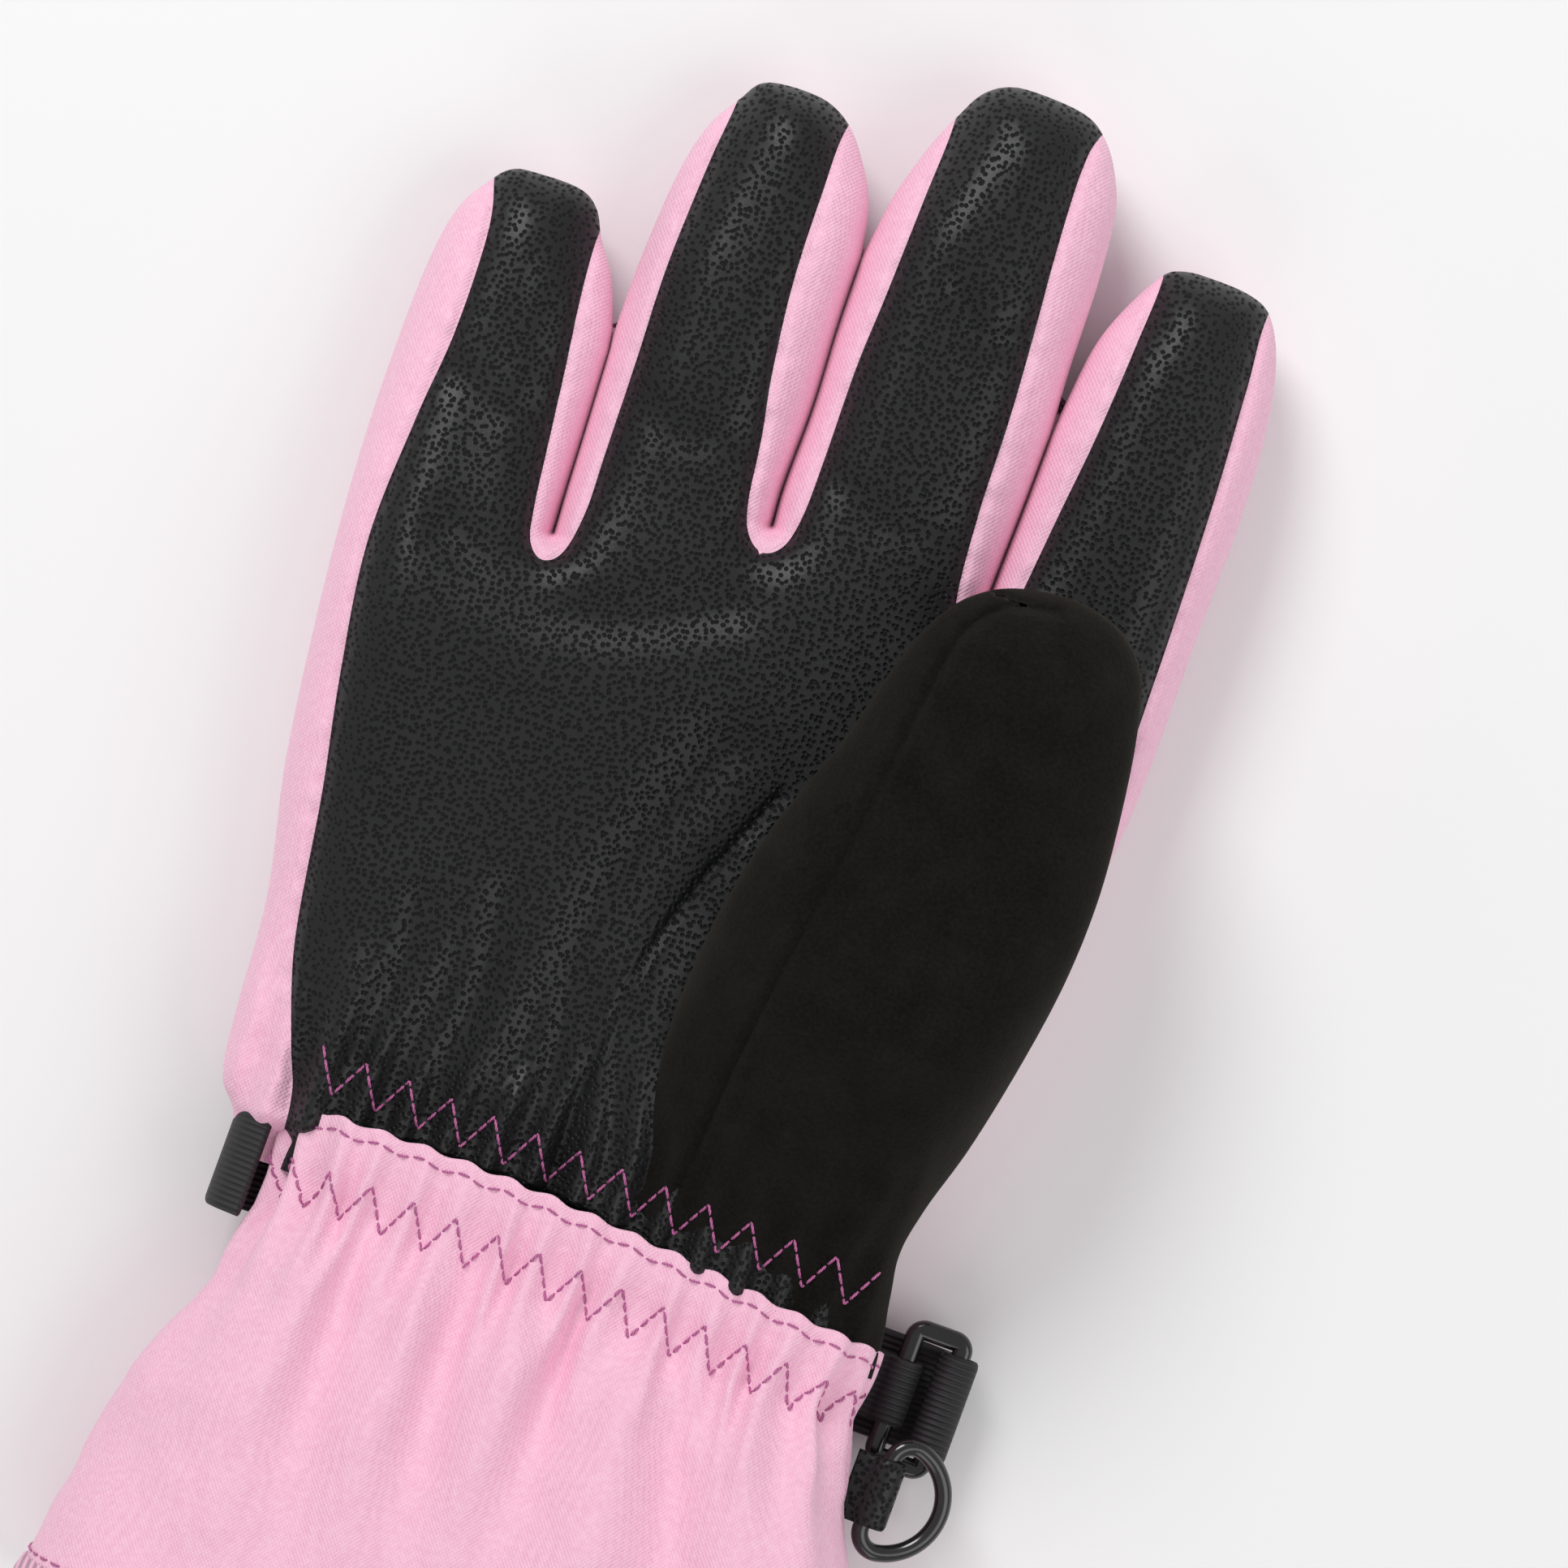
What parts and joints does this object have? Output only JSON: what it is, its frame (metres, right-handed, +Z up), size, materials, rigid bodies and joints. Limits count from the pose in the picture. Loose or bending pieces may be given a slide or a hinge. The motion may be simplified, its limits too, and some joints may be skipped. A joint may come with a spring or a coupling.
{
  "type": "ski glove",
  "caption": "Right-hand padded ski glove lying palm up: grip palm, suede thumb over it, pink woven shell, elasticated wrist, gauntlet cuff, wrist strap with buckle and a D-ring.",
  "frame": {"origin": "on the flat face that the glove lies on, under the middle of the hand", "axes": "+Z up out of the palm, +Y towards the fingertips, +X towards the thumb side"},
  "size_m": [0.1358, 0.2578, 0.0506],
  "materials": {
    "grip_leather": "matte pebbled synthetic leather",
    "suede": "napped microfibre suede",
    "shell_fabric": "ribbed woven polyester",
    "wadding": "fibre wadding",
    "membrane": "thin film",
    "fleece": "brushed fleece",
    "elastic": "flat elastic",
    "webbing": "ribbed webbing",
    "loop_pile": "loop pile",
    "hook_strip": "moulded hooks",
    "buckle_plastic": "gloss moulded acetal"
  },
  "bodies": {
    "hand": {"hand_wadding": "wadding", "hand_membrane": "membrane", "hand_lining": "fleece", "thumb_root_panel": "suede", "palm_panel": "grip_leather", "back_panel": "shell_fabric", "wrist_elastic": "elastic", "cuff_shell": "shell_fabric", "cuff_lining": "fleece", "cuff_hem_binding": "webbing", "cuff_elastic": "elastic", "wrist_strap": "webbing", "loop_patch": "loop_pile", "buckle": "buckle_plastic", "d_ring_tab": "grip_leather", "buckle_tab": "grip_leather"},
    "little_finger": {"little_front_panel": "grip_leather", "little_side_walls": "shell_fabric", "little_back_panel": "shell_fabric", "little_wadding": "wadding", "little_membrane": "membrane", "little_lining": "fleece"},
    "ring_finger": {"ring_front_panel": "grip_leather", "ring_side_walls": "shell_fabric", "ring_back_panel": "shell_fabric", "ring_wadding": "wadding", "ring_membrane": "membrane", "ring_lining": "fleece"},
    "middle_finger": {"middle_front_panel": "grip_leather", "middle_side_walls": "shell_fabric", "middle_back_panel": "shell_fabric", "middle_wadding": "wadding", "middle_membrane": "membrane", "middle_lining": "fleece"},
    "index_finger": {"index_front_panel": "grip_leather", "index_side_walls": "shell_fabric", "index_back_panel": "shell_fabric", "index_wadding": "wadding", "index_membrane": "membrane", "index_lining": "fleece"},
    "thumb": {"thumb_front_panel": "suede", "thumb_gusset": "suede", "thumb_back_panel": "grip_leather", "thumb_wadding": "wadding", "thumb_membrane": "membrane", "thumb_lining": "fleece"},
    "d_ring": {"d_ring": "buckle_plastic"},
    "strap_end": {"strap_tail": "webbing", "hook_patch": "hook_strip"}
  },
  "joints": [
    {"name": "little_curl", "type": "hinge", "parent": "hand", "child": "little_finger", "pos_m": [-0.0523, 0.05, 0.0225], "axis": [1, 0, 0], "range_deg": [0, 60]},
    {"name": "ring_curl", "type": "hinge", "parent": "hand", "child": "ring_finger", "pos_m": [-0.0218, 0.06, 0.0245], "axis": [1, 0, 0], "range_deg": [0, 60]},
    {"name": "middle_curl", "type": "hinge", "parent": "hand", "child": "middle_finger", "pos_m": [0.0105, 0.06, 0.0255], "axis": [1, 0, 0], "range_deg": [0, 60]},
    {"name": "index_curl", "type": "hinge", "parent": "hand", "child": "index_finger", "pos_m": [0.0431, 0.061, 0.0245], "axis": [1, 0, 0], "range_deg": [0, 60]},
    {"name": "thumb_lift", "type": "hinge", "parent": "hand", "child": "thumb", "pos_m": [0.031, -0.008, 0.0506], "axis": [1, 0, 0], "range_deg": [0, 45]},
    {"name": "d_ring_swing", "type": "hinge", "parent": "hand", "child": "d_ring", "pos_m": [0.0569, -0.073, 0.0155], "axis": [0.0872, 0.9962, 0], "range_deg": [-95, 12]},
    {"name": "strap_peel", "type": "hinge", "parent": "hand", "child": "strap_end", "pos_m": [0.046, -0.0585, 0.0007], "axis": [0, -1, 0], "range_deg": [0, 120]}
  ]
}
